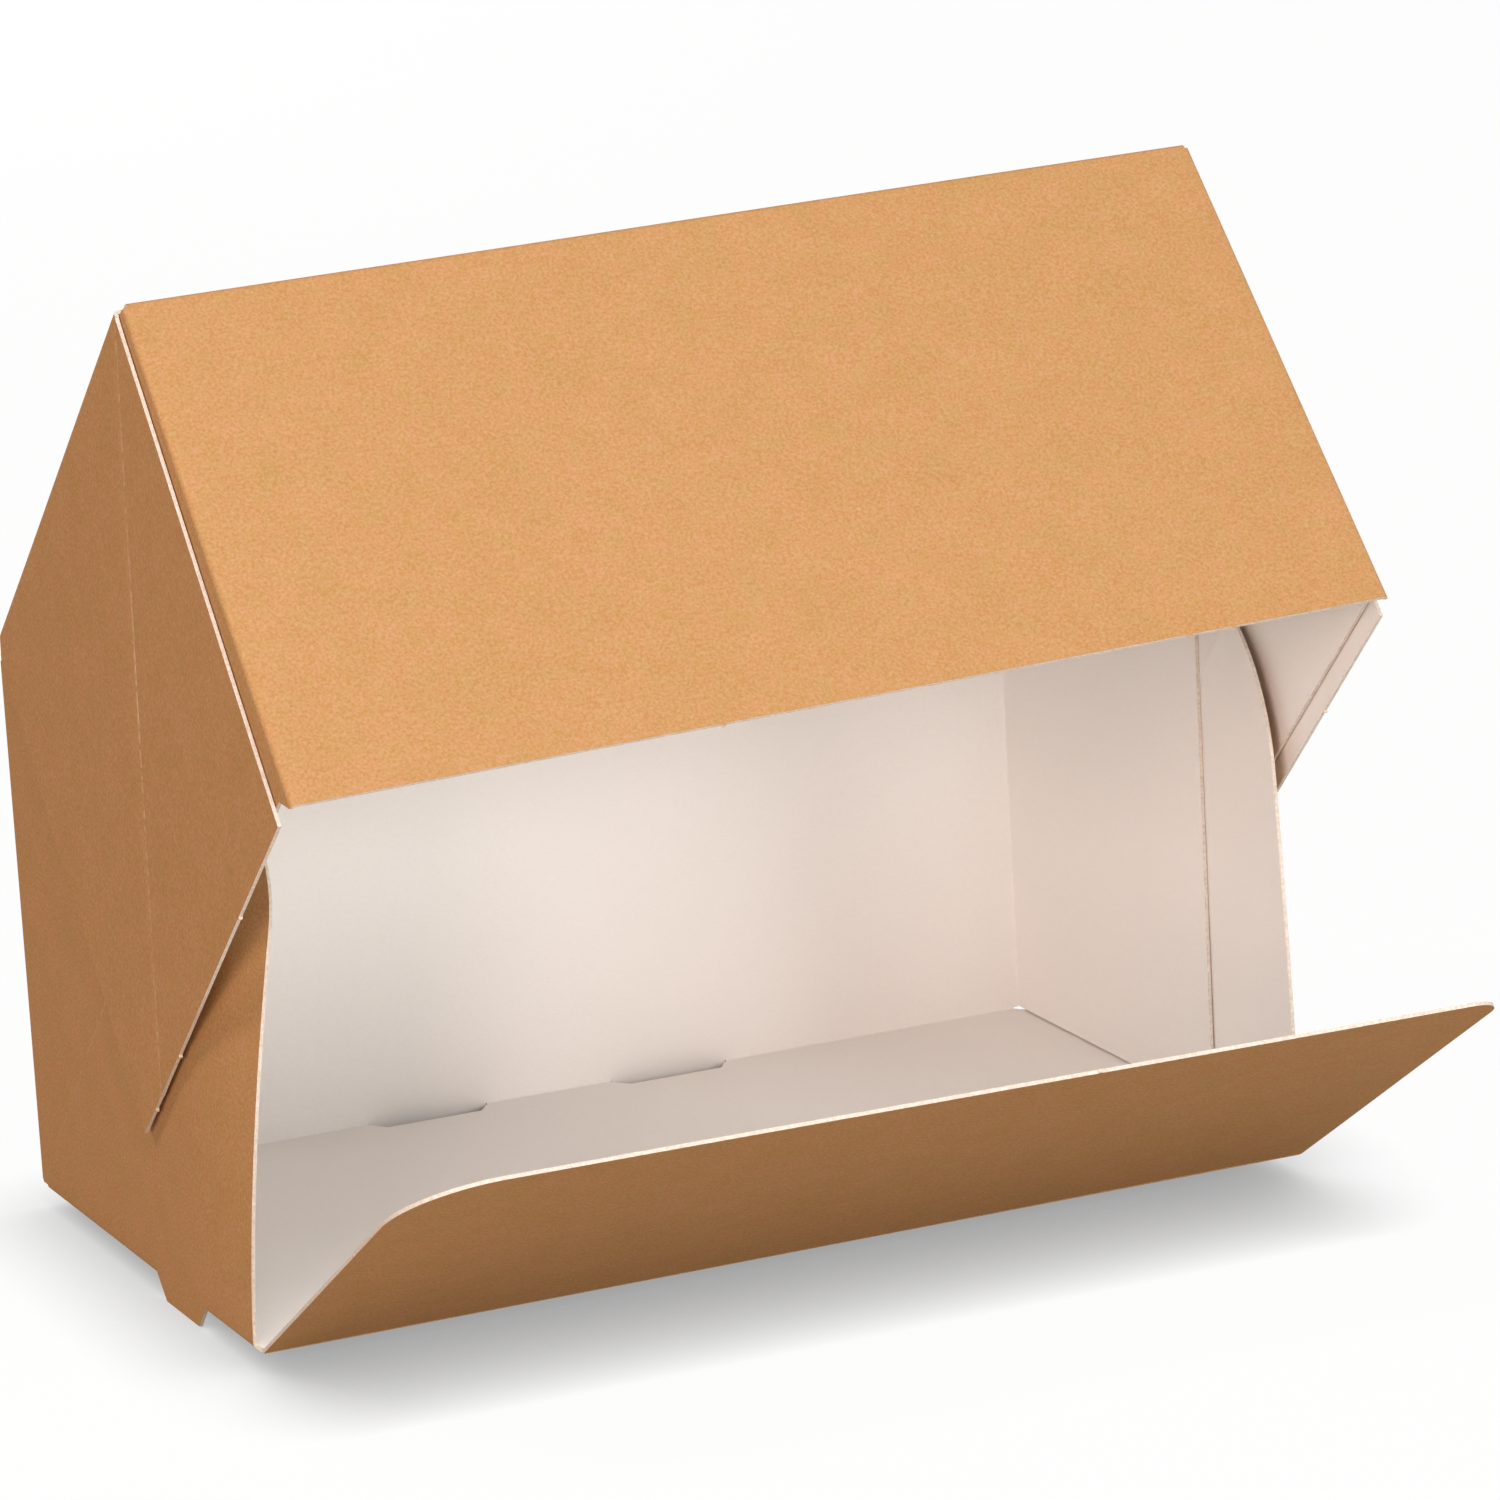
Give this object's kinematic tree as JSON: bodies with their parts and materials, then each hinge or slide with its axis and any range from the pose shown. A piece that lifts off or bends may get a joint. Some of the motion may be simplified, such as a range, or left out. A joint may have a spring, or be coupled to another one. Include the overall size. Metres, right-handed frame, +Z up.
{
  "type": "pastry box",
  "caption": "Folded kraft paperboard pastry box: open-fronted tray on small tab feet, with a hinged hood that covers it and a front flap that folds up inside the hood.",
  "frame": {"origin": "centre of the bottom panel's underside, between the side walls and between the front crease and the rear wall", "axes": "+X along the box's length to the right seen from its open front, +Y to the rear wall, +Z up"},
  "size_m": [0.1528, 0.1418, 0.1371],
  "materials": {
    "board_tray": "matt kraft paperboard, brown outside and white inside",
    "board_hood": "matt kraft paperboard, brown outside and white inside",
    "board_flap": "matt kraft paperboard, brown outside and white inside"
  },
  "bodies": {
    "tray": {"tray": "board_tray"},
    "hood": {"hood": "board_hood"},
    "front_flap": {"front_flap": "board_flap"}
  },
  "joints": [
    {"name": "hood_hinge", "type": "hinge", "parent": "tray", "child": "hood", "pos_m": [0, 0.04225, 0.07475], "axis": [-1, 0, 0], "range_deg": [-44.2, 135.8]},
    {"name": "flap_hinge", "type": "hinge", "parent": "tray", "child": "front_flap", "pos_m": [0, -0.04225, 0.00025], "axis": [-1, 0, 0], "range_deg": [-31.8, 58.2]}
  ]
}
